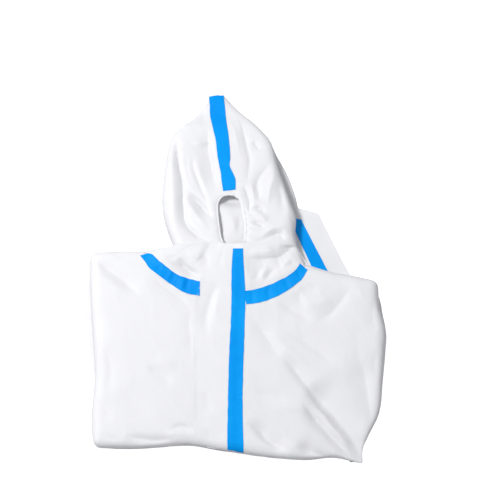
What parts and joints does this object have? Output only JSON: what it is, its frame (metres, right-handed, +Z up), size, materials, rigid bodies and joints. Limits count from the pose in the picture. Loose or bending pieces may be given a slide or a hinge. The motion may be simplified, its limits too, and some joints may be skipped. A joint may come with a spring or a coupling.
{
  "type": "folded hooded isolation coverall",
  "caption": "Disposable hooded isolation coverall with taped seams, folded flat and lying on its back with the hood and front facing up.",
  "frame": {"origin": "centre of the garment's bounding box, on the surface it lies on", "axes": "+X to the right of someone who looks at the front from above with the hood away from them, +Y along the centre seam from the bottom fold to the hood's peak, +Z up from the surface"},
  "size_m": [0.5511, 0.6855, 0.0477],
  "materials": {
    "white_cloth": "matte laminated nonwoven with a faint sheen",
    "blue_tape": "smooth heat-bonded film with fine cross wrinkles"
  },
  "bodies": {
    "root": {"front_left": "white_cloth", "front_right": "white_cloth", "storm_flap": "white_cloth", "hood_left": "white_cloth", "hood_right": "white_cloth", "face_casing": "white_cloth", "shoulder_right": "white_cloth", "sleeve_left": "white_cloth", "sleeve_right": "white_cloth", "folded_layers": "white_cloth", "tape_centre_front": "blue_tape", "tape_hood": "blue_tape", "tape_neck_left": "blue_tape", "tape_neck_right": "blue_tape", "tape_shoulder_right": "blue_tape"}
  },
  "joints": []
}
